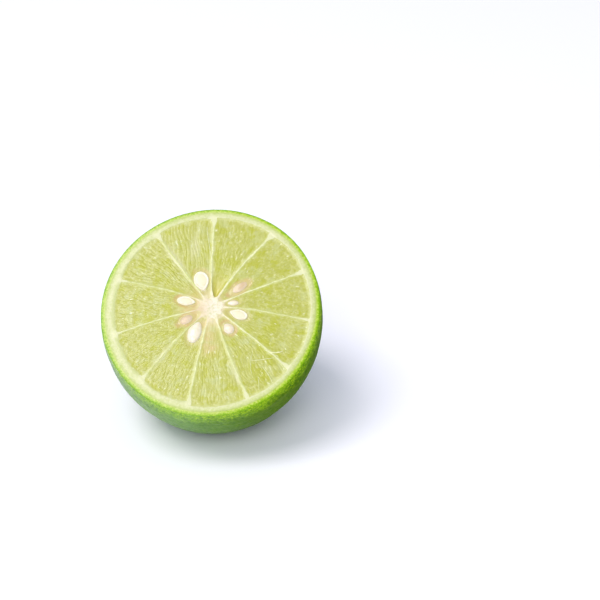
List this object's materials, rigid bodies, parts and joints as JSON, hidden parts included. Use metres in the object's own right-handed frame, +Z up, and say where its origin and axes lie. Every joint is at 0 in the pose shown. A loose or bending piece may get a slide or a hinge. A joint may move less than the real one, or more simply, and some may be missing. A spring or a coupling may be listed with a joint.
{
  "type": "half lime",
  "caption": "Half of a round green seeded lime, cut across its middle and resting on its rind, with the cut face tilted up.",
  "frame": {"origin": "on the surface that the half rests on, under the middle of its bounding box", "axes": "+Z up from the surface; the cut face looks up and towards -Y, leaning about 39 degrees from level"},
  "size_m": [0.0484, 0.0474, 0.0439],
  "materials": {
    "rind": "waxy green rind with fine oil glands, satin",
    "pith": "soft white pith, membranes and core, matt and moist",
    "pulp": "wet translucent pale green juice sacs",
    "seed": "smooth moist cream seed coat",
    "stem_scar": "dry tan cork"
  },
  "bodies": {
    "root": {"lime_half": "rind"}
  },
  "joints": []
}
